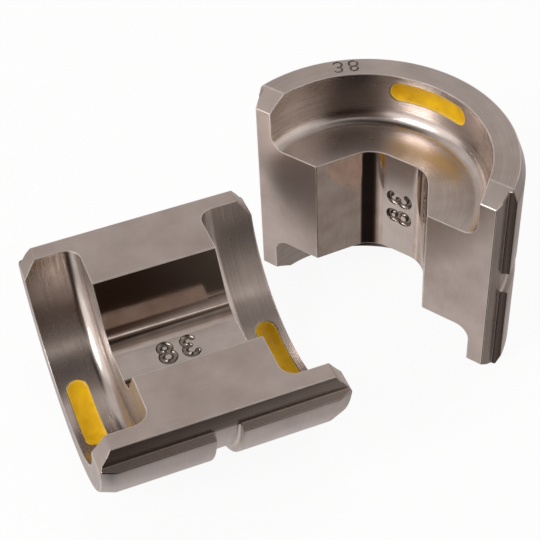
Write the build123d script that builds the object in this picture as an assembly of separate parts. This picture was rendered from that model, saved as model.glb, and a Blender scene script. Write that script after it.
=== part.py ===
from build123d import *
import math
import os

# Sizes in millimetres. A half is drawn with its crimp axis along X and its parting face at Z 0,
# the metal below it.
across_flats = 15.75
die_length = 34.1
dish_depth = 8.0
outer_radius = 21.3
rim_wall = 4.45
axis_rise = 1.1
dish_fillet = 2.15
cavity_fillet = 2.4
rim_break = 0.2

end_chamfer_length = 2.1
end_chamfer_height = 0.75
facet_length = 1.95
facet_drop = 3.0

edge_inset = 1.89
bevel_width = 0.35
bevel_drop = 1.07
step_lean = 0.05
step_drop = 2.45
ledge_drop = 2.9

groove_width = 3.55
groove_depth = 1.25

mark_width = 3.1
mark_angle = 42.6
mark_depth = 0.9
mark_sunk = 0.15
mark_from_end = 2.75

standing_x = 30.75
standing_y = 5.12
standing_turn = 32.9

half_length = die_length / 2
web_half = half_length - dish_depth
bore_radius = outer_radius - rim_wall
cavity_depth = across_flats / 2
cavity_half_top = across_flats / math.sqrt(3)
cavity_half_floor = cavity_half_top / 2
groove_radius = outer_radius - groove_depth
past = 3.0


def half_width(radius, drop):
    # half the width of a turned circle, at a depth below the parting face
    return math.sqrt(radius ** 2 - (axis_rise + drop) ** 2)


parting_half = half_width(outer_radius, 0) - edge_inset


def blank():
    # the whole turned piece: a rim round a web, dished at both ends, with a groove at mid length
    quarter = [
        (0, 0),
        (0, groove_radius),
        (groove_width / 2, groove_radius),
        (groove_width / 2, outer_radius),
        (half_length - end_chamfer_length, outer_radius),
        (half_length, outer_radius - end_chamfer_height),
        (half_length, bore_radius + rim_break),
        (half_length - rim_break, bore_radius),
        (web_half, bore_radius),
        (web_half, 0),
    ]
    section = make_face(Polyline(*quarter, close=True))
    dish_corner = section.vertices().sort_by_distance((web_half, bore_radius))[0]
    section = fillet(dish_corner, dish_fillet)
    side = revolve(Plane.XZ * section, axis=Axis.X)
    return Pos(0, 0, axis_rise) * (side + mirror(side, about=Plane.YZ))


def cavity():
    # half a hexagon, cut through the web from the parting face
    side = [
        (-cavity_half_top, past),
        (-cavity_half_top, 0),
        (-cavity_half_floor, -cavity_depth),
        (cavity_half_floor, -cavity_depth),
        (cavity_half_top, 0),
        (cavity_half_top, past),
    ]
    section = make_face(Polyline(*side, close=True))
    section = fillet(section.vertices().group_by(Axis.Y)[0], cavity_fillet)
    return extrude(Plane.YZ * section, amount=half_length, both=True)


def long_step():
    # what is milled off one long edge: a bevel, an upright wall and a ledge that falls to the round
    wall = parting_half + bevel_width
    corner = wall + step_lean
    ledge_end = half_width(outer_radius, ledge_drop)
    slope = (ledge_drop - step_drop) / (ledge_end - corner)
    side = [
        (parting_half, past),
        (parting_half, 0),
        (wall, -bevel_drop),
        (corner, -step_drop),
        (ledge_end + past, -ledge_drop - slope * past),
        (ledge_end + past, past),
    ]
    section = make_face(Polyline(*side, close=True))
    return extrude(Plane.YZ * section, amount=half_length + past, both=True)


def corner_facet():
    # what is taken off both corners at one end
    side = [
        (half_length - facet_length, past),
        (half_length - facet_length, 0),
        (half_length, -facet_drop),
        (half_length + past, -facet_drop),
        (half_length + past, past),
    ]
    section = make_face(Polyline(*side, close=True))
    return extrude(Plane.XZ * section, amount=outer_radius + past, both=True)


def mark_band(near, far):
    # a round-ended band at the bottom of the bore at one end, between two radii
    end_radius = mark_width / 2
    middle = half_length - mark_from_end
    swing = mark_angle / 2 - math.degrees(math.asin(end_radius / bore_radius))
    section = Plane.XZ * Pos(middle, (near + far) / 2) * Rectangle(mark_width, far - near)
    ring = revolve(section, axis=Axis.X)
    band = Rot(180 - swing, 0, 0) * revolve(section, axis=Axis.X, revolution_arc=2 * swing)
    for turn in (-swing, swing):
        end = Rot(turn, 0, 0) * Pos(middle, 0, -far) * Cylinder(end_radius, far)
        band = band + (ring & end)
    return Pos(0, 0, axis_rise) * band


def die_half():
    half = blank() & Pos(0, 0, -outer_radius) * Box(2 * die_length, 4 * outer_radius, 2 * outer_radius)
    half = half - cavity()
    half = half - long_step() - mirror(long_step(), about=Plane.XZ)
    slot = mark_band(bore_radius - rim_break, bore_radius + mark_depth)
    for cutter in (corner_facet(), slot):
        half = half - cutter - mirror(cutter, about=Plane.YZ)
    return half


def mark_fill():
    # the hard enamel in a slot, a little below the bore
    return mark_band(bore_radius + mark_sunk, bore_radius + mark_depth)


def lying(shape):
    # parting face up and level, resting on the round back
    return Pos(0, 0, outer_radius - axis_rise) * shape


def standing(shape):
    # turned on end, so that the crimp axis is upright, and set down beside the lying half
    return Pos(standing_x, standing_y, half_length) * Rot(0, 0, standing_turn) * Rot(0, -90, 0) * shape


def other_end(shape):
    return mirror(shape, about=Plane.YZ)


half = die_half()
fill = mark_fill()
nodes = {
    "lying_half": lying(half),
    "lying_far_mark": lying(fill),
    "lying_near_mark": lying(other_end(fill)),
    "standing_half": standing(half),
    "standing_top_mark": standing(fill),
    "standing_foot_mark": standing(other_end(fill)),
}

# The origin goes to the middle of the pair's footprint, on the floor.
footprint = Compound([part.solid() for part in nodes.values()]).bounding_box()
to_origin = Pos(-footprint.center().X, -footprint.center().Y, -footprint.min.Z)

os.makedirs("parts", exist_ok=True)
for name, part in nodes.items():
    export_step((to_origin * part).solid(), "parts/" + name + ".step")
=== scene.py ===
import bpy
import math
from mathutils import Euler, Matrix, Vector


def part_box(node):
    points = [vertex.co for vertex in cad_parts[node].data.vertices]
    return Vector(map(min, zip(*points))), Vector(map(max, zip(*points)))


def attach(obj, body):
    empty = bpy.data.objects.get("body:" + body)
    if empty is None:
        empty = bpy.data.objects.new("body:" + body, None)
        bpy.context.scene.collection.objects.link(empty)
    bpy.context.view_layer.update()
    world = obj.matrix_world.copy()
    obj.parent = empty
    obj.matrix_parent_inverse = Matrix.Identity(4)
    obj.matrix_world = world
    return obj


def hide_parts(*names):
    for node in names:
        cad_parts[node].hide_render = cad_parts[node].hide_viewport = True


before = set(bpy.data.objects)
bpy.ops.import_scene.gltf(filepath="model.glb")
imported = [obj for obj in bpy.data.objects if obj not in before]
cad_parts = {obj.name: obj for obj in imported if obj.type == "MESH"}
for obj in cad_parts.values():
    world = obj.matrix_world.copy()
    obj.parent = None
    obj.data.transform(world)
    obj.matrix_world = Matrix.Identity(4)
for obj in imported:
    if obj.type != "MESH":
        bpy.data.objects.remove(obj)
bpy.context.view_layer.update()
print("die set: frame loaded")

mm = 0.001

# camera
camera = {
    "place": (-49.43, -133.425, 161.096), "turn": (44.944, 2.055, -21.435),
    "lens": 96.855, "sensor": 36, "near": 0.01,
}

camData = bpy.data.cameras.new("photoCamera")
camData.lens = camera["lens"]
camData.sensor_width = camera["sensor"]
camData.clip_start = camera["near"]
cam = bpy.data.objects.new("photoCamera", camData)
bpy.context.scene.collection.objects.link(cam)
cam.location = [c * mm for c in camera["place"]]
cam.rotation_euler = Euler([math.radians(a) for a in camera["turn"]], "XYZ")
bpy.context.scene.camera = cam


# small helpers
def deselectAll():
    for obj in bpy.context.selected_objects:
        obj.select_set(False)


def pickOnly(obj):
    if bpy.context.object and bpy.context.object.mode != "OBJECT":
        bpy.ops.object.mode_set(mode="OBJECT")
    bpy.ops.object.select_all(action="DESELECT")
    obj.select_set(True)
    bpy.context.view_layer.objects.active = obj


def pickParts(obj, what, test):
    # selects vertices, edges or faces by their place, and goes into edit mode
    pickOnly(obj)
    bpy.ops.object.mode_set(mode="EDIT")
    bpy.ops.mesh.select_mode(type={"verts": "VERT", "edges": "EDGE", "faces": "FACE"}[what])
    bpy.ops.mesh.select_all(action="DESELECT")
    bpy.ops.object.mode_set(mode="OBJECT")
    mesh = obj.data
    if what == "verts":
        for v in mesh.vertices:
            v.select = test(v.co)
    elif what == "edges":
        for e in mesh.edges:
            e.select = test(*(mesh.vertices[i].co for i in e.vertices))
    else:
        for f in mesh.polygons:
            f.select = test(f.center, f.normal)
    bpy.ops.object.mode_set(mode="EDIT")


def pickAll(obj):
    # goes into edit mode with the whole mesh selected
    pickOnly(obj)
    bpy.ops.object.mode_set(mode="EDIT")
    bpy.ops.mesh.select_all(action="SELECT")


def backToObject():
    bpy.ops.object.mode_set(mode="OBJECT")


def pullOut(x, y, z):
    bpy.ops.mesh.extrude_region_move(TRANSFORM_OT_translate={"value": (x, y, z)})


def faceOutward():
    bpy.ops.mesh.select_all(action="SELECT")
    bpy.ops.mesh.normals_make_consistent(inside=False)


def sliceAt(obj, place, along):
    # a ring of new edges where a plane meets the mesh
    pickAll(obj)
    bpy.ops.mesh.bisect(plane_co=place, plane_no=along)
    backToObject()


def setForm(obj):
    # the object's turn and place go into its mesh
    pickOnly(obj)
    bpy.ops.object.transform_apply(location=True, rotation=True, scale=True)


def applyAll(obj):
    pickOnly(obj)
    for m in list(obj.modifiers):
        bpy.ops.object.modifier_apply(modifier=m.name)


def cutWith(obj, cutter):
    m = obj.modifiers.new("cut", "BOOLEAN")
    m.operation = "DIFFERENCE"
    m.solver = "EXACT"
    m.material_mode = "TRANSFER"
    m.object = cutter
    applyAll(obj)
    bpy.data.objects.remove(cutter)


def prism(name, outline, xFrom, xTo):
    # an outline in the Y-Z plane, pulled out along X
    pickOnly(cam)
    bpy.ops.mesh.primitive_circle_add(vertices=len(outline), radius=1, fill_type="NGON")
    obj = bpy.context.object
    obj.name = name
    for v, (y, z) in zip(obj.data.vertices, outline):
        v.co = (xFrom, y, z)
    pickAll(obj)
    pullOut(xTo - xFrom, 0, 0)
    faceOutward()
    backToObject()
    return obj


# sizes of one half, crimp axis along X, parting face at Z 0
die = {
    "acrossFlats": 15.75, "length": 34.1, "dish": 8.0, "radius": 21.3, "wall": 4.45, "rise": 1.1,
    "dishFillet": 2.15, "cavityFillet": 2.4,
    "chamferLength": 2.1, "chamferHeight": 0.75, "facetLength": 1.95, "facetDrop": 3.0,
    "edgeInset": 1.89, "bevelWidth": 0.35, "bevelDrop": 1.07, "lean": 0.05,
    "stepDrop": 2.45, "ledgeDrop": 2.9,
    "grooveWidth": 3.55, "grooveDepth": 1.25, "grooveFillet": 0.55,
    "sides": 192, "filletSteps": 10, "cavitySteps": 8, "grooveSteps": 5,
}
halfLength = die["length"] / 2
webHalf = halfLength - die["dish"]
bore = die["radius"] - die["wall"]
# how far cutters reach past the metal, and how near a point has to be to count as on a line
past = 3.0
near = 0.01


def halfWidth(radius, drop):
    return math.sqrt(radius ** 2 - (die["rise"] + drop) ** 2)


partingHalf = halfWidth(die["radius"], 0) - die["edgeInset"]


def turnBlank():
    # a round bar, chamfered and dished at both ends and grooved at mid length
    d = die
    plain = d["length"] - 2 * d["chamferLength"]
    pickOnly(cam)
    bpy.ops.mesh.primitive_cylinder_add(vertices=d["sides"], radius=d["radius"], depth=plain,
                                        rotation=(0, math.radians(90), 0))
    blank = bpy.context.object
    blank.name = "blank"
    bpy.ops.object.transform_apply(location=True, rotation=True, scale=True)
    shrink = (d["radius"] - d["chamferHeight"]) / d["radius"]
    for side in (1, -1):
        pickParts(blank, "faces", lambda c, n: n.x * side > 0.9)
        pullOut(side * d["chamferLength"], 0, 0)
        bpy.ops.transform.resize(value=(1, shrink, shrink), center_override=(side * halfLength, 0, 0))
        rim = d["radius"] - d["chamferHeight"] - bore
        bpy.ops.mesh.inset(thickness=rim, depth=0)
        pullOut(-side * d["dish"], 0, 0)
        backToObject()

    def onWebRing(p):
        return abs(abs(p.x) - webHalf) < near and abs(math.hypot(p.y, p.z) - bore) < 5 * near

    pickParts(blank, "edges", lambda a, b: onWebRing(a) and onWebRing(b))
    bpy.ops.mesh.bevel(offset=d["dishFillet"], segments=d["filletSteps"], profile=0.5, affect="EDGES")
    backToObject()
    # the catch groove
    for x in (-d["grooveWidth"] / 2, d["grooveWidth"] / 2):
        sliceAt(blank, (x, 0, 0), (1, 0, 0))
    pickParts(blank, "faces", lambda c, n: abs(c.x) < 0.5 and math.hypot(c.y, c.z) > bore)
    bpy.ops.mesh.extrude_region_shrink_fatten(TRANSFORM_OT_shrink_fatten={"value": -d["grooveDepth"]})
    bpy.ops.mesh.select_mode(type="EDGE")
    bpy.ops.mesh.region_to_loop()
    bpy.ops.mesh.bevel(offset=d["grooveFillet"], segments=d["grooveSteps"], profile=0.5, affect="EDGES")
    bpy.ops.mesh.select_all(action="SELECT")
    bpy.ops.transform.translate(value=(0, 0, d["rise"]))
    backToObject()
    return blank


def sawThrough(obj):
    # keeps what is below the parting face
    pickAll(obj)
    bpy.ops.mesh.bisect(plane_co=(0, 0, 0), plane_no=(0, 0, 1), clear_outer=True, use_fill=True)
    backToObject()


def cavityCutter():
    flats = die["acrossFlats"]
    floor, deep = flats / math.sqrt(12), flats / 2
    wide = floor + (deep + past) / math.sqrt(3)
    outline = [(-wide, past), (-floor, -deep), (floor, -deep), (wide, past)]
    cutter = prism("cavityCutter", outline, -halfLength, halfLength)
    pickParts(cutter, "edges", lambda a, b: max(a.z, b.z) < near - deep and abs(a.x - b.x) > 1)
    bpy.ops.mesh.bevel(offset=die["cavityFillet"], offset_type="OFFSET", segments=die["cavitySteps"],
                       profile=0.5, affect="EDGES")
    backToObject()
    return cutter


def stepCutter(side):
    d = die
    wall = partingHalf + d["bevelWidth"]
    corner = wall + d["lean"]
    ledgeEnd = halfWidth(d["radius"], d["ledgeDrop"])
    slope = (d["ledgeDrop"] - d["stepDrop"]) / (ledgeEnd - corner)
    inner = partingHalf - d["bevelWidth"] / d["bevelDrop"] * past
    outline = [(inner, past), (wall, -d["bevelDrop"]), (corner, -d["stepDrop"]),
               (ledgeEnd + past, -d["ledgeDrop"] - slope * past), (ledgeEnd + past, past)]
    reach = halfLength + past
    return prism("stepCutter", [(side * y, z) for y, z in outline], -reach, reach)


def facetCutter(side):
    reach, low = die["radius"] + past, -die["facetDrop"]
    inner, end = side * (halfLength - die["facetLength"]), side * halfLength
    outline = [(reach, past), (reach, low), (-reach, low), (-reach, past)]
    cutter = prism("facetCutter", outline, inner, side * (halfLength + past))
    # leans the inner wall, so that it runs from the parting face down to the end face
    pickParts(cutter, "verts", lambda c: abs(c.x - inner) < near and c.z < 0)
    bpy.ops.transform.translate(value=(end - inner, 0, 0))
    backToObject()
    pickParts(cutter, "verts", lambda c: abs(c.x - inner) < near and c.z > 0)
    bpy.ops.transform.translate(value=((inner - end) * past / die["facetDrop"], 0, 0))
    backToObject()
    return cutter


# enamel slot: a round-ended band bent round the bore
mark = {
    "width": 3.1, "angle": 42.6, "depth": 0.9, "sunk": 0.08, "scoop": 0.42, "fromEnd": 2.75,
    "cutterInwards": 0.5, "roundEnd": 40, "bends": 40, "rows": 12,
}


def bentBand(name, out, inwards, scoop=0):
    # from out, outside the bore wall, to inwards, inside it; the inner side is hollowed by scoop
    endRadius = mark["width"] / 2
    straight = math.radians(mark["angle"]) * bore / 2 - endRadius
    pickOnly(cam)
    bpy.ops.mesh.primitive_circle_add(vertices=mark["roundEnd"], radius=endRadius, fill_type="NGON",
                                      rotation=(math.radians(90), math.pi / mark["roundEnd"], 0))
    band = bpy.context.object
    band.name = name
    setForm(band)
    for side in (1, -1):
        pickParts(band, "verts", lambda c: c.x * side > near / 10)
        bpy.ops.transform.translate(value=(side * straight, 0, 0))
        backToObject()
    for i in range(1, mark["bends"]):
        sliceAt(band, ((straight + endRadius) * (2 * i / mark["bends"] - 1), 0, 0), (1, 0, 0))
    pickAll(band)
    bpy.ops.transform.translate(value=(0, -out, 0))
    pullOut(0, out + inwards, 0)
    faceOutward()
    backToObject()
    if scoop:
        for i in range(1, mark["rows"]):
            sliceAt(band, (0, 0, -endRadius * math.cos(math.pi * i / mark["rows"])), (0, 0, 1))
        for v in band.data.vertices:
            if v.co.y > inwards - near / 10:
                reach = math.hypot(max(abs(v.co.x) - straight, 0), v.co.z) / endRadius
                v.co.y -= scoop * max(1 - reach ** 2, 0)
    bend = band.modifiers.new("bend", "SIMPLE_DEFORM")
    bend.deform_method = "BEND"
    bend.deform_axis = "Z"
    bend.angle = math.radians(mark["angle"])
    applyAll(band)
    return band


def placeBand(band, side):
    # stands the band at the bottom of the bore, at one end
    band.rotation_euler = (math.radians(90), 0, math.radians(90))
    band.location = (side * (halfLength - mark["fromEnd"]), 0, die["rise"] - bore)
    setForm(band)
    return band


# how every edge is broken: width, angle that counts as sharp, and what is joined before and after
softEdge = {"width": 0.16, "sharp": 26, "flat": 0.3, "joinBefore": 0.03, "joinAfter": 0.004}


def softenEdges(obj):
    # joins the faces of each flat, then breaks every sharp edge as a file would
    pickAll(obj)
    bpy.ops.mesh.select_mode(type="VERT")
    bpy.ops.mesh.select_all(action="SELECT")
    bpy.ops.mesh.remove_doubles(threshold=softEdge["joinBefore"])
    bpy.ops.mesh.dissolve_limited(angle_limit=math.radians(softEdge["flat"]))
    bpy.ops.mesh.select_all(action="DESELECT")
    bpy.ops.mesh.select_mode(type="EDGE")
    bpy.ops.mesh.edges_select_sharp(sharpness=math.radians(softEdge["sharp"]))
    bpy.ops.mesh.bevel(offset=softEdge["width"], segments=2, profile=0.5, affect="EDGES",
                       clamp_overlap=False, material=1)
    bpy.ops.mesh.select_mode(type="VERT")
    bpy.ops.mesh.select_all(action="SELECT")
    bpy.ops.mesh.remove_doubles(threshold=softEdge["joinAfter"])
    backToObject()


# numbers, cut with a ball-ended tool round these arcs: centre, radius, first and last angle
digitArcs = {
    "3": [((-0.05, 0.86), 0.8, 150, -90), ((-0.05, -0.8), 0.92, 90, -150)],
    "8": [((0, 0.86), 0.78, 90, -270), ((0, -0.8), 0.92, 90, -270)],
}
numbers = {
    "text": "38",
    "cavity": {"scale": 1.0, "spacing": 1.68, "cutter": 0.48, "above": 0.1, "shift": -0.3},
    "rim": {
        "scale": 0.68, "spacing": 1.12, "cutter": 0.16, "above": 0.03, "angle": 42, "radius": 18.85,
    },
    "ringSteps": 48, "roundSteps": 20, "ballRings": 12, "arcSteps": 30, "ballGrow": 1.004,
}


def ringTool(centre, reach, cutter):
    bpy.ops.mesh.primitive_torus_add(location=centre, major_radius=reach, minor_radius=cutter,
                                     major_segments=numbers["ringSteps"],
                                     minor_segments=numbers["roundSteps"])
    return [bpy.context.object]


def arcTools(centre, reach, cutter, first, last):
    # a round bar along the arc, and a ball at each end of it
    line = bpy.data.curves.new("stroke", "CURVE")
    line.dimensions = "3D"
    line.bevel_depth = cutter
    line.bevel_resolution = 4
    line.use_fill_caps = True
    spline = line.splines.new("POLY")
    steps = numbers["arcSteps"]
    spline.points.add(steps)
    for k, p in enumerate(spline.points):
        a = math.radians(first + (last - first) * k / steps)
        p.co = (*(centre + reach * Vector((math.cos(a), math.sin(a), 0))), 1)
    ends = [Vector(spline.points[k].co[:3]) for k in (0, steps)]
    tool = bpy.data.objects.new("stroke", line)
    bpy.context.scene.collection.objects.link(tool)
    pickOnly(tool)
    bpy.ops.object.convert(target="MESH")
    pickAll(bpy.context.object)
    bpy.ops.mesh.remove_doubles(threshold=near / 10)
    bpy.ops.mesh.normals_make_consistent(inside=False)
    backToObject()
    tools = [bpy.context.object]
    for co in ends:
        deselectAll()
        bpy.ops.mesh.primitive_uv_sphere_add(segments=numbers["roundSteps"], location=co,
                                             ring_count=numbers["ballRings"],
                                             radius=cutter * numbers["ballGrow"])
        tools.append(bpy.context.object)
    return tools


def cutNumber(obj, style, toPlace, material):
    for i, digit in enumerate(numbers["text"]):
        across = (2 * i - 1) * style["spacing"]
        for (cx, cy), radius, first, last in digitArcs[digit]:
            centre = Vector((across + cx * style["scale"], cy * style["scale"], style["above"]))
            reach = radius * style["scale"]
            deselectAll()
            if abs(last - first) == 360:
                tools = ringTool(centre, reach, style["cutter"])
            else:
                tools = arcTools(centre, reach, style["cutter"], first, last)
            for tool in tools:
                setForm(tool)
                tool.data.transform(toPlace)
                if toPlace.determinant() < 0:
                    tool.data.flip_normals()
                tool.data.materials.clear()
                tool.data.materials.append(material)
                cutWith(obj, tool)


def makeHalf():
    half = turnBlank()
    cutWith(half, cavityCutter())
    for side in (1, -1):
        cutWith(half, stepCutter(side))
        cutWith(half, facetCutter(side))
        cutWith(half, placeBand(bentBand("slotCutter", mark["depth"], mark["cutterInwards"]), side))
    sawThrough(half)
    print("die set: half cut out,", len(half.data.polygons), "faces")
    # the second of these goes on the broken edges, whose lighter tone is a painted highlight
    half.data.materials.clear()
    half.data.materials.append(steels["groundFace"])
    half.data.materials.append(steels["brokenEdgeHighlight"])
    for f in half.data.polygons:
        f.material_index = 0
    softenEdges(half)
    print("die set: edges broken,", len(half.data.polygons), "faces")
    return half


# shader groups
def newGroup(name, inputs, outputs):
    group = bpy.data.node_groups.new(name, "ShaderNodeTree")
    for label, kind, value in inputs:
        socket = group.interface.new_socket(name=label, in_out="INPUT", socket_type="NodeSocket" + kind)
        if value is not None:
            socket.default_value = value
    for label, kind in outputs:
        group.interface.new_socket(name=label, in_out="OUTPUT", socket_type="NodeSocket" + kind)
    return group, group.nodes.new("NodeGroupInput"), group.nodes.new("NodeGroupOutput")


def addNode(tree, kind, **values):
    node = tree.nodes.new("ShaderNode" + kind)
    for key, value in values.items():
        if hasattr(node, key):
            setattr(node, key, value)
        else:
            node.inputs[key.replace("_", " ")].default_value = value
    return node


def mathNode(tree, operation, a, b=None):
    node = addNode(tree, "Math", operation=operation)
    for socket, value in zip(node.inputs, (a, b)):
        if value is None:
            continue
        if isinstance(value, bpy.types.NodeSocket):
            tree.links.new(value, socket)
        else:
            socket.default_value = value
    return node.outputs[0]


def rangeNode(tree, value, low, high, toLow, toHigh):
    node = addNode(tree, "MapRange")
    node.inputs["From Min"].default_value = low
    node.inputs["From Max"].default_value = high
    node.inputs["To Min"].default_value = toLow
    node.inputs["To Max"].default_value = toHigh
    tree.links.new(value, node.inputs["Value"])
    return node.outputs[0]


def streakGroup():
    # fine tool lines: a noise stretched by each axis' own scale, and broad uneven patches
    group, inside, outside = newGroup(
        "toolLines",
        [("Stretch", "Vector", (1, 1, 1)), ("Patch Scale", "Float", 0.2), ("Vector", "Vector", None)],
        [("Lines", "Float"), ("Patches", "Float")])
    stretch = addNode(group, "VectorMath", operation="MULTIPLY")
    group.links.new(inside.outputs["Vector"], stretch.inputs[0])
    group.links.new(inside.outputs["Stretch"], stretch.inputs[1])
    lines = addNode(group, "TexNoise", Scale=1.0, Detail=4.0, Roughness=0.62)
    group.links.new(stretch.outputs[0], lines.inputs["Vector"])
    patches = addNode(group, "TexNoise", Detail=3.0, Roughness=0.55)
    group.links.new(inside.outputs["Vector"], patches.inputs["Vector"])
    group.links.new(inside.outputs["Patch Scale"], patches.inputs["Scale"])
    group.links.new(lines.outputs["Fac"], outside.inputs["Lines"])
    group.links.new(patches.outputs["Fac"], outside.inputs["Patches"])
    return group


# millimetres of arc for one radian, about the middle of the rim's wall
roundScale = 18.0


def turnedGroup():
    # the same place given as distance along the crimp axis, distance from it and arc round it
    group, inside, outside = newGroup(
        "turnedPlace", [("Rise", "Float", 1.1), ("Vector", "Vector", None)], [("Vector", "Vector")])
    split = addNode(group, "SeparateXYZ")
    group.links.new(inside.outputs["Vector"], split.inputs[0])
    up = mathNode(group, "SUBTRACT", split.outputs["Z"], inside.outputs["Rise"])
    across = split.outputs["Y"]
    squares = mathNode(group, "ADD", mathNode(group, "MULTIPLY", across, across),
                       mathNode(group, "MULTIPLY", up, up))
    out = mathNode(group, "SQRT", squares)
    around = mathNode(group, "ARCTAN2", across, mathNode(group, "MULTIPLY", up, -1.0))
    join = addNode(group, "CombineXYZ")
    group.links.new(split.outputs["X"], join.inputs["X"])
    group.links.new(out, join.inputs["Y"])
    group.links.new(mathNode(group, "MULTIPLY", around, roundScale), join.inputs["Z"])
    group.links.new(join.outputs[0], outside.inputs["Vector"])
    return group


streaks = streakGroup()
turned = turnedGroup()


# how the tool lines drive every steel: the noise's range for colour and for gloss, and their height
toolMarks = {"tone": (0.32, 0.62), "gloss": (0.3, 0.7), "height": 0.00002}


def steel(name, finish):
    mat = bpy.data.materials.new(name)
    mat.use_nodes = True
    tree = mat.node_tree
    shader = tree.nodes["Principled BSDF"]
    shader.inputs["Metallic"].default_value = 1.0
    place = addNode(tree, "Attribute", attribute_name="diePlace")
    here = place.outputs["Vector"]
    if finish["round"]:
        wrap = addNode(tree, "Group", node_tree=turned)
        wrap.inputs["Rise"].default_value = die["rise"]
        tree.links.new(here, wrap.inputs["Vector"])
        here = wrap.outputs["Vector"]
    marks = addNode(tree, "Group", node_tree=streaks)
    marks.inputs["Stretch"].default_value = finish["stretch"]
    marks.inputs["Patch Scale"].default_value = finish["patch"]
    tree.links.new(here, marks.inputs["Vector"])
    tone = addNode(tree, "MixRGB", blend_type="MIX")
    tone.inputs["Color1"].default_value = (*finish["dark"], 1)
    tone.inputs["Color2"].default_value = (*finish["colour"], 1)
    lines = mathNode(tree, "MULTIPLY", marks.outputs["Lines"], finish["lineShare"])
    patches = mathNode(tree, "MULTIPLY", marks.outputs["Patches"], 1 - finish["lineShare"])
    mixed = mathNode(tree, "ADD", lines, patches)
    tree.links.new(rangeNode(tree, mixed, *toolMarks["tone"], 0, 1), tone.inputs["Fac"])
    tree.links.new(tone.outputs[0], shader.inputs["Base Color"])
    low, high = finish["rough"] - finish["roughSpread"], finish["rough"] + finish["roughSpread"]
    tree.links.new(rangeNode(tree, mixed, *toolMarks["gloss"], high, low), shader.inputs["Roughness"])
    bump = addNode(tree, "Bump", Strength=finish["bump"], Distance=toolMarks["height"])
    tree.links.new(marks.outputs["Lines"], bump.inputs["Height"])
    tree.links.new(bump.outputs[0], shader.inputs["Normal"])
    return mat


# each finish of the steel: its two tones, roughness and bump, then how its tool lines are stretched,
# the scale of its patches, round for a turned face, and how much of the tone the lines make
finishes = {
    "groundFace": {
        "colour": (0.58, 0.51, 0.475), "dark": (0.46, 0.395, 0.365),
        "rough": 0.34, "roughSpread": 0.06, "bump": 0.25,
        "stretch": (0.35, 6, 6), "patch": 0.15, "round": False, "lineShare": 0.25,
    },
    "turnedBore": {
        "colour": (0.59, 0.52, 0.48), "dark": (0.44, 0.38, 0.345),
        "rough": 0.26, "roughSpread": 0.05, "bump": 0.28,
        "stretch": (3, 3, 0.04), "patch": 0.25, "round": True, "lineShare": 0.5,
    },
    "turnedFace": {
        "colour": (0.57, 0.51, 0.48), "dark": (0.42, 0.365, 0.335),
        "rough": 0.3, "roughSpread": 0.05, "bump": 0.4,
        "stretch": (7, 7, 0.1), "patch": 0.2, "round": True, "lineShare": 0.5,
    },
    "polishedFillet": {
        "colour": (0.6, 0.54, 0.51), "dark": (0.5, 0.44, 0.41),
        "rough": 0.23, "roughSpread": 0.04, "bump": 0.5,
        "stretch": (5, 5, 0.1), "patch": 0.3, "round": True, "lineShare": 0.5,
    },
    "turnedBack": {
        "colour": (0.64, 0.57, 0.54), "dark": (0.55, 0.485, 0.46),
        "rough": 0.36, "roughSpread": 0.05, "bump": 0.15,
        "stretch": (7, 7, 0.12), "patch": 0.15, "round": True, "lineShare": 0.35,
    },
    "polishedSlope": {
        "colour": (0.6, 0.51, 0.455), "dark": (0.46, 0.37, 0.32),
        "rough": 0.085, "roughSpread": 0.02, "bump": 0.1,
        "stretch": (0.3, 5, 5), "patch": 0.35, "round": False, "lineShare": 0.3,
    },
    "cavityFloor": {
        "colour": (0.6, 0.54, 0.51), "dark": (0.53, 0.47, 0.44),
        "rough": 0.2, "roughSpread": 0.04, "bump": 0.2,
        "stretch": (0.3, 6, 6), "patch": 0.25, "round": False, "lineShare": 0.4,
    },
    "milledStep": {
        "colour": (0.45, 0.38, 0.345), "dark": (0.35, 0.29, 0.26),
        "rough": 0.28, "roughSpread": 0.05, "bump": 0.18,
        "stretch": (0.2, 6, 6), "patch": 0.2, "round": False, "lineShare": 0.6,
    },
    # broken edges: base colour well above the steel's, a painted highlight along every edge, and
    # rougher
    "brokenEdgeHighlight": {
        "colour": (0.8, 0.74, 0.7), "dark": (0.64, 0.58, 0.545),
        "rough": 0.38, "roughSpread": 0.06, "bump": 0.2,
        "stretch": (2, 2, 2), "patch": 0.6, "round": False, "lineShare": 0.4,
    },
    # the cavity number's grooves: colour darkened, painted shade in the engraved strokes
    "cutGrooveShade": {
        "colour": (0.3, 0.265, 0.235), "dark": (0.15, 0.13, 0.11),
        "rough": 0.26, "roughSpread": 0.06, "bump": 0.1,
        "stretch": (2, 2, 2), "patch": 0.8, "round": False, "lineShare": 0.3,
    },
    # the rim number's grooves: colour darkened, painted shade in the engraved strokes
    "rimGrooveShade": {
        "colour": (0.2, 0.17, 0.16), "dark": (0.1, 0.085, 0.08),
        "rough": 0.4, "roughSpread": 0.05, "bump": 0.1,
        "stretch": (2, 2, 2), "patch": 0.8, "round": False, "lineShare": 0.3,
    },
}
steels = {name: steel(name, finish) for name, finish in finishes.items()}


# the enamel is painted paler near the slot's wall, a painted highlight for the sheen along the fill's
# rim
paint = {
    "dark": (0.6, 0.32, 0.003), "light": (0.81, 0.48, 0.008), "rimHighlight": (0.87, 0.62, 0.12),
    "rimHighlightOver": 0.14, "rimHighlightShare": 0.6, "rough": (0.28, 0.38), "gloss": 0.2,
    "cloudScale": 0.35, "cloud": (0.35, 0.65), "bump": 0.7, "height": 0.0002,
}


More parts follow.
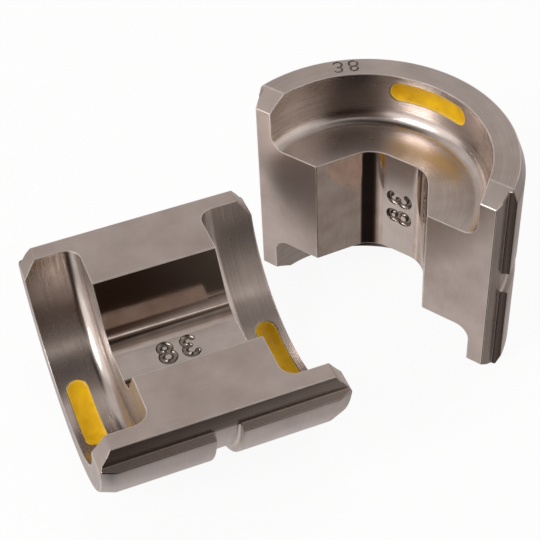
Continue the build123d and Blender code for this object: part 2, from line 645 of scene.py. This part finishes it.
def enamel():
    mat = bpy.data.materials.new("yellowEnamel")
    mat.use_nodes = True
    tree = mat.node_tree
    shader = tree.nodes["Principled BSDF"]
    shader.inputs["Specular IOR Level"].default_value = paint["gloss"]
    place = addNode(tree, "Attribute", attribute_name="diePlace")
    cloud = addNode(tree, "TexNoise", Scale=paint["cloudScale"], Detail=2.0, Roughness=0.45)
    tree.links.new(place.outputs["Vector"], cloud.inputs["Vector"])
    tone = addNode(tree, "MixRGB", blend_type="MIX")
    tone.inputs["Color1"].default_value = (*paint["dark"], 1)
    tone.inputs["Color2"].default_value = (*paint["light"], 1)
    tree.links.new(rangeNode(tree, cloud.outputs["Fac"], *paint["cloud"], 0, 1), tone.inputs["Fac"])
    wrap = addNode(tree, "Group", node_tree=turned)
    wrap.inputs["Rise"].default_value = die["rise"]
    tree.links.new(place.outputs["Vector"], wrap.inputs["Vector"])
    split = addNode(tree, "SeparateXYZ")
    tree.links.new(wrap.outputs["Vector"], split.inputs[0])
    lip = bore + mark["sunk"]
    # paler tone towards the slot's wall: painted highlight
    rimHighlight = rangeNode(tree, split.outputs["Y"], lip, lip + paint["rimHighlightOver"], paint["rimHighlightShare"], 0)
    border = addNode(tree, "MixRGB", blend_type="MIX")
    border.inputs["Color2"].default_value = (*paint["rimHighlight"], 1)
    tree.links.new(rimHighlight, border.inputs["Fac"])
    tree.links.new(tone.outputs[0], border.inputs["Color1"])
    tree.links.new(border.outputs[0], shader.inputs["Base Color"])
    gloss = rangeNode(tree, cloud.outputs["Fac"], *paint["cloud"], *paint["rough"])
    tree.links.new(gloss, shader.inputs["Roughness"])
    bump = addNode(tree, "Bump", Strength=paint["bump"], Distance=paint["height"])
    tree.links.new(cloud.outputs["Fac"], bump.inputs["Height"])
    tree.links.new(bump.outputs[0], shader.inputs["Normal"])
    return mat


yellowEnamel = enamel()
print("die set: materials made")


# how faces are told apart: slack in millimetres, and how far a normal leans along the crimp axis
zones = {
    "skin": 0.02, "slack": 0.1, "hexReach": 12, "flat": 0.985, "curved": 0.06, "endFlat": 0.97,
    "upright": 0.3, "leaning": 0.2, "slotFrom": 2.5, "slotTo": 0.4, "slotHalf": 9,
    "facetEdge": 0.3, "stepIn": 0.2, "stepTop": 0.5,
}


def zoneOf(centre, normal):
    x, y, z = centre
    out, lean = math.hypot(y, z - die["rise"]), abs(normal.x)
    skin, slack = zones["skin"], zones["slack"]
    hexHalf = die["acrossFlats"] / math.sqrt(3)
    facetStart = halfLength - die["facetLength"]
    if z > -skin:
        return "groundFace"
    if abs(x) < webHalf - skin and abs(y) < hexHalf + skin and out < zones["hexReach"]:
        return "cavityFloor" if normal.z > zones["flat"] else "polishedSlope"
    if out < bore + softEdge["width"] and abs(x) > webHalf - 1.5 * slack:
        if lean > zones["flat"]:
            return "turnedFace"
        return "turnedBore" if lean < zones["curved"] else "polishedFillet"
    if lean > zones["endFlat"] and abs(x) > halfLength - slack:
        return "groundFace"
    onStep = abs(y) > partingHalf - slack / 2 and z > -die["ledgeDrop"] - slack
    if onStep and lean < zones["upright"]:
        return "milledStep"
    if lean > zones["leaning"] and z > -die["facetDrop"] - slack and abs(x) > facetStart - slack:
        return "groundFace"
    return "turnedBack"


def edgeZone(centre):
    # a broken edge wears the finish beside it in the slot, at the facets and on the step; elsewhere it
    # keeps the lighter tone painted as an edge highlight
    x, y, z = abs(centre.x), abs(centre.y), centre.z
    inSlot = webHalf + zones["slotFrom"] < x < halfLength - zones["slotTo"] and y < zones["slotHalf"]
    if inSlot and z < -die["ledgeDrop"]:
        return "turnedBore"
    if z > -zones["facetEdge"] and x > halfLength - die["facetLength"] - zones["facetEdge"]:
        return "groundFace"
    if y > partingHalf + zones["stepIn"] and z < -zones["stepTop"]:
        return "milledStep" if z > -die["ledgeDrop"] - zones["slack"] / 2 else "turnedBack"
    return "brokenEdgeHighlight"


def paintZones(obj):
    names = list(finishes)
    worn = {i: m.name for i, m in enumerate(obj.data.materials) if m}
    was = [worn.get(f.material_index) for f in obj.data.polygons]
    obj.data.materials.clear()
    for name in names:
        obj.data.materials.append(steels[name])
    for f, old in zip(obj.data.polygons, was):
        if old == "brokenEdgeHighlight":
            zone = edgeZone(f.center)
        elif old in ("cutGrooveShade", "rimGrooveShade"):
            zone = old
        else:
            zone = zoneOf(f.center, f.normal)
        f.material_index = names.index(zone)


def setDown(obj, place):
    # keeps each point's place in the half for the materials, then sets the half down in metres
    spot = obj.data.attributes.new("diePlace", "FLOAT_VECTOR", "POINT")
    spot.data.foreach_set("vector", [c for v in obj.data.vertices for c in v.co])
    obj.data.transform(place)
    obj.data.update()


def smooth(obj, angle=38):
    pickOnly(obj)
    bpy.ops.object.shade_smooth_by_angle(angle=math.radians(angle))
    even = obj.modifiers.new("evenNormals", "WEIGHTED_NORMAL")
    even.mode = "FACE_AREA"
    even.weight = 50
    even.keep_sharp = True
    applyAll(obj)


# the two halves: how far the standing one stands from the lying one, and how it is turned
pair = {"away": (30.75, 5.12), "turn": 32.9}


def placeOf(node, standing):
    # from a half's own millimetres to the row's metres
    low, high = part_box(node)
    shrink = Matrix.Scale(mm, 4)
    if not standing:
        centre = Vector(((low.x + high.x) / 2, (low.y + high.y) / 2, high.z))
        return Matrix.Translation(centre) @ shrink
    return Matrix.Translation(Vector(standingPlace)) \
        @ Matrix.Rotation(math.radians(pair["turn"]), 4, "Z") \
        @ Matrix.Rotation(math.radians(-90), 4, "Y") @ shrink


lyingLow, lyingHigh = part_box("lying_half")
standingPlace = (
    (lyingLow.x + lyingHigh.x) / 2 + pair["away"][0] * mm,
    (lyingLow.y + lyingHigh.y) / 2 + pair["away"][1] * mm,
    halfLength * mm,
)

plainHalf = makeHalf()
floorLevel = -die["acrossFlats"] / 2
onFloor = Matrix.Translation((numbers["cavity"]["shift"], 0, floorLevel)) \
    @ Matrix.Scale(-1, 4, (1, 0, 0))
cutNumber(plainHalf, numbers["cavity"], onFloor, steels["cutGrooveShade"])
print("die set: number cut in the cavity")

lyingHalf = plainHalf
lyingHalf.name = "lyingDieHalf"
standingHalf = plainHalf.copy()
standingHalf.data = plainHalf.data.copy()
standingHalf.name = "standingDieHalf"
bpy.context.scene.collection.objects.link(standingHalf)

rim = numbers["rim"]
# the tops of the rim's digits point to the axis
upright = Matrix(((0, 0, 1, 0), (-1, 0, 0, 0), (0, 1, 0, 0), (0, 0, 0, 1)))
onRim = Matrix.Translation((halfLength, 0, die["rise"])) \
    @ Matrix.Rotation(math.radians(rim["angle"]), 4, "X") \
    @ Matrix.Translation((0, 0, -rim["radius"])) @ upright
cutNumber(standingHalf, rim, onRim, steels["rimGrooveShade"])
print("die set: number cut in the rim")

for obj, node, standing in ((lyingHalf, "lying_half", False), (standingHalf, "standing_half", True)):
    paintZones(obj)
    smooth(obj)
    setDown(obj, placeOf(node, standing))
    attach(obj, "root")
    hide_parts(node)


# enamel in the slots
def makeMark(name, side):
    fill = bentBand(name, mark["depth"], -mark["sunk"], mark["scoop"])
    placeBand(fill, side)
    fill.data.materials.clear()
    fill.data.materials.append(yellowEnamel)
    smooth(fill, 50)
    return fill


fills = (
    ("lyingFarEnamel", "lying_far_mark", 1, False),
    ("lyingNearEnamel", "lying_near_mark", -1, False),
    ("standingTopEnamel", "standing_top_mark", 1, True),
    ("standingFootEnamel", "standing_foot_mark", -1, True),
)
for name, node, side, standing in fills:
    fill = makeMark(name, side)
    setDown(fill, placeOf("lying_half", standing))
    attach(fill, "root")
    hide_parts(node)
print("die set: enamel laid in the slots")


# floor, world and lamps
studio = {
    "sheet": {"colour": (0.86, 0.85, 0.84), "lift": 0.93, "size": 3, "rough": 0.9},
    "room": (0.36, 0.335, 0.32),
    # where each panel stands: degrees round from the far side, degrees up, its soft edge and its light
    "panels": {
        "far": {"round": (-60, 100), "up": (12, 82), "edge": 7, "light": (0.25, 0.235, 0.23)},
        "farLeft": {"round": (-66, -18), "up": (18, 66), "edge": 8, "light": (0.14, 0.135, 0.13)},
        "left": {"round": (-150, -66), "up": (-4, 27), "edge": 7, "light": (0.95, 0.91, 0.88)},
        "leftHigh": {"round": (-128, -70), "up": (27, 51), "edge": 9, "light": (0.68, 0.65, 0.63)},
        "leftLow": {"round": (-128, -50), "up": (-90, 0), "edge": 6, "light": (0.4, 0.38, 0.37)},
        "farLow": {"round": (-60, 60), "up": (-90, -14), "edge": 8, "light": (0.3, 0.285, 0.28)},
        "under": {"round": (52, 176), "up": (-120, -66), "edge": 8, "light": (0.24, 0.225, 0.22)},
        "right": {"round": (104, 150), "up": (2, 54), "edge": 7, "light": (0.62, 0.59, 0.57)},
        "rightAbove": {"round": (98, 146), "up": (54, 66), "edge": 6, "light": (0.3, 0.285, 0.28)},
        "side": {"round": (148, 163), "up": (4, 52), "edge": 4, "light": (0.2, 0.19, 0.185)},
        "low": {"round": (12, 66), "up": (-8, 14), "edge": 6, "light": (0.4, 0.385, 0.38)},
        "bar": {"round": (150, 212), "up": (54.5, 58), "edge": 1.5, "light": (0.75, 0.71, 0.69)},
    },
    # darker places: the camera's stand and the ceiling
    "shades": {
        "stand": {"round": (167, 222), "up": (-64, 50), "edge": 5, "depth": (0.84, 0.905, 0.93)},
        "standFoot": {"round": (172, 214), "up": (-90, -16), "edge": 5, "depth": (0.72, 0.58, 0.44)},
        "lens": {"round": (162, 214), "up": (-14, 18), "edge": 6, "depth": (0.7, 0.72, 0.74)},
        "overBar": {"round": (146, 226), "up": (60, 71), "edge": 2, "depth": (0.66, 0.7, 0.72)},
        "ceiling": {"round": (150, 340), "up": (66, 120), "edge": 4, "depth": (0.87, 0.91, 0.93)},
        "top": {"round": (-220, 220), "up": (73, 120), "edge": 5, "depth": (0.5, 0.53, 0.545)},
    },
}


def makeFloor():
    sheet = studio["sheet"]
    deselectAll()
    bpy.ops.mesh.primitive_plane_add(size=sheet["size"])
    floor = bpy.context.object
    floor.name = "floor"
    mat = bpy.data.materials.new("paleSheet")
    mat.use_nodes = True
    tree = mat.node_tree
    shader = tree.nodes["Principled BSDF"]
    shader.inputs["Roughness"].default_value = sheet["rough"]
    shader.inputs["Base Color"].default_value = (*sheet["colour"], 1)
    path = addNode(tree, "LightPath")
    white = addNode(tree, "Emission", Strength=1.0)
    lifted = addNode(tree, "MixShader")
    toCamera = mathNode(tree, "MULTIPLY", path.outputs["Is Camera Ray"], sheet["lift"])
    tree.links.new(toCamera, lifted.inputs[0])
    tree.links.new(shader.outputs[0], lifted.inputs[1])
    tree.links.new(white.outputs[0], lifted.inputs[2])
    # the metal mirrors the studio round it, not the sheet
    clear = addNode(tree, "BsdfTransparent")
    shown = addNode(tree, "MixShader")
    tree.links.new(path.outputs["Is Glossy Ray"], shown.inputs[0])
    tree.links.new(lifted.outputs[0], shown.inputs[1])
    tree.links.new(clear.outputs[0], shown.inputs[2])
    tree.links.new(shown.outputs[0], tree.nodes["Material Output"].inputs["Surface"])
    floor.data.materials.append(mat)


def panelGroup():
    # a soft-edged window on the sky: 1 inside, 0 outside
    takes = [("Round", 0), ("Up", 0), ("Middle", 0), ("Half Width", 40), ("Low", 0), ("High", 60),
             ("Edge", 10)]
    group, inside, outside = newGroup(
        "softWindow", [(label, "Float", value) for label, value in takes], [("Mask", "Float")])
    turn = mathNode(group, "SUBTRACT", inside.outputs["Round"], inside.outputs["Middle"])
    wrapped = mathNode(group, "WRAP", turn, 180)
    wrapped.node.inputs[2].default_value = -180
    turn = mathNode(group, "ABSOLUTE", wrapped)
    parts = []
    for value in (mathNode(group, "SUBTRACT", inside.outputs["Half Width"], turn),
                  mathNode(group, "SUBTRACT", inside.outputs["Up"], inside.outputs["Low"]),
                  mathNode(group, "SUBTRACT", inside.outputs["High"], inside.outputs["Up"])):
        share = mathNode(group, "DIVIDE", value, inside.outputs["Edge"])
        soft = addNode(group, "MapRange", interpolation_type="SMOOTHSTEP")
        soft.inputs["From Min"].default_value = -1
        group.links.new(share, soft.inputs["Value"])
        parts.append(soft.outputs[0])
    both = mathNode(group, "MULTIPLY", parts[0], parts[1])
    group.links.new(mathNode(group, "MULTIPLY", both, parts[2]), outside.inputs["Mask"])
    return group


def makeWorld():
    world = bpy.data.worlds.new("studio")
    bpy.context.scene.world = world
    world.use_nodes = True
    tree = world.node_tree
    window = panelGroup()
    towards = addNode(tree, "TexCoord")
    split = addNode(tree, "SeparateXYZ")
    tree.links.new(towards.outputs["Generated"], split.inputs[0])
    degrees = 180 / math.pi
    turn = mathNode(tree, "ARCTAN2", split.outputs["X"], split.outputs["Y"])
    turn = mathNode(tree, "MULTIPLY", turn, degrees)
    up = mathNode(tree, "MULTIPLY", mathNode(tree, "ARCSINE", split.outputs["Z"]), degrees)

    def maskOf(panel):
        low, high = panel["round"]
        mask = addNode(tree, "Group", node_tree=window)
        tree.links.new(turn, mask.inputs["Round"])
        tree.links.new(up, mask.inputs["Up"])
        mask.inputs["Middle"].default_value = (low + high) / 2
        mask.inputs["Half Width"].default_value = (high - low) / 2
        mask.inputs["Low"].default_value, mask.inputs["High"].default_value = panel["up"]
        mask.inputs["Edge"].default_value = panel["edge"]
        return mask.outputs[0]

    light = None
    for panel in studio["panels"].values():
        more = addNode(tree, "VectorMath", operation="SCALE")
        more.inputs[0].default_value = panel["light"]
        tree.links.new(maskOf(panel), more.inputs["Scale"])
        add = addNode(tree, "VectorMath", operation="ADD")
        add.inputs[1].default_value = studio["room"]
        if light:
            tree.links.new(light, add.inputs[1])
        tree.links.new(more.outputs[0], add.inputs[0])
        light = add.outputs[0]
    for shade in studio["shades"].values():
        taken = addNode(tree, "VectorMath", operation="SCALE")
        taken.inputs[0].default_value = shade["depth"]
        tree.links.new(maskOf(shade), taken.inputs["Scale"])
        left = addNode(tree, "VectorMath", operation="SUBTRACT")
        left.inputs[0].default_value = (1, 1, 1)
        tree.links.new(taken.outputs[0], left.inputs[1])
        less = addNode(tree, "VectorMath", operation="MULTIPLY")
        tree.links.new(light, less.inputs[0])
        tree.links.new(left.outputs[0], less.inputs[1])
        light = less.outputs[0]
    path = addNode(tree, "LightPath")
    seen = addNode(tree, "MixRGB")
    tree.links.new(path.outputs["Is Camera Ray"], seen.inputs["Fac"])
    tree.links.new(light, seen.inputs["Color1"])
    seen.inputs["Color2"].default_value = (1, 1, 1, 1)
    tree.links.new(seen.outputs[0], tree.nodes["Background"].inputs["Color"])


# the metal mirrors only the first lamp; the other two light the enamel
lamps = {
    "leftLamp": {"place": (-0.42, -0.12, 0.36), "size": 0.2, "power": 1.1, "mirrored": True},
    "leftFill": {"place": (-0.42, -0.12, 0.36), "size": 0.2, "power": 0.5, "mirrored": False},
    "farFill": {"place": (0.16, 0.1, 0.5), "size": 0.25, "power": 0.38, "mirrored": False},
}
lampAim = Vector((0, 0, 0.02))


def softLamp(name, style):
    data = bpy.data.lights.new(name, "AREA")
    data.shape = "RECTANGLE"
    data.size = data.size_y = style["size"]
    data.energy = style["power"]
    lamp = bpy.data.objects.new(name, data)
    bpy.context.scene.collection.objects.link(lamp)
    lamp.location = style["place"]
    lamp.rotation_euler = (lampAim - Vector(style["place"])).to_track_quat("-Z", "Y").to_euler()
    lamp.visible_glossy = style["mirrored"]


makeFloor()
makeWorld()
for name, style in lamps.items():
    softLamp(name, style)
bpy.context.scene.view_settings.view_transform = "Standard"

print("die set: done")
